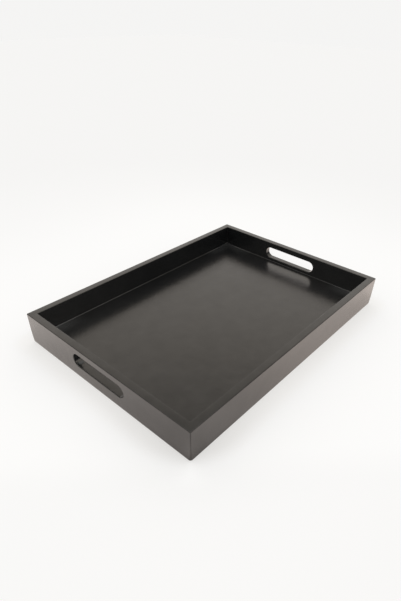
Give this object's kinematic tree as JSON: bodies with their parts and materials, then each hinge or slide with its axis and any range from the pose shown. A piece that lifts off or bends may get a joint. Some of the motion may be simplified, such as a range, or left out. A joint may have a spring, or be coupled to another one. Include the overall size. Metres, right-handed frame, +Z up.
{
  "type": "serving tray with handles",
  "caption": "Rectangular lacquered serving tray with straight mitred sides, a recessed flat floor and a hand slot through each short end.",
  "frame": {"origin": "on the table, under the middle of the tray", "axes": "+X along the long side towards the right handle end, +Y towards the rear rail, +Z up"},
  "size_m": [0.45, 0.325, 0.05],
  "materials": {
    "rail_lacquer": "satin black lacquer over wood, with eased edges",
    "panel_lacquer": "satin black lacquer over a flat board",
    "spline_plywood": "bare birch plywood, glued in",
    "brad_steel": "bright drawn wire"
  },
  "bodies": {
    "root": {"front_rail": "rail_lacquer", "rear_rail": "rail_lacquer", "left_handle_end": "rail_lacquer", "right_handle_end": "rail_lacquer", "bottom_panel": "panel_lacquer", "front_left_spline": "spline_plywood", "front_right_spline": "spline_plywood", "rear_left_spline": "spline_plywood", "rear_right_spline": "spline_plywood", "front_left_upper_brad": "brad_steel", "front_left_lower_brad": "brad_steel", "front_right_upper_brad": "brad_steel", "front_right_lower_brad": "brad_steel", "rear_left_upper_brad": "brad_steel", "rear_left_lower_brad": "brad_steel", "rear_right_upper_brad": "brad_steel", "rear_right_lower_brad": "brad_steel"}
  },
  "joints": []
}
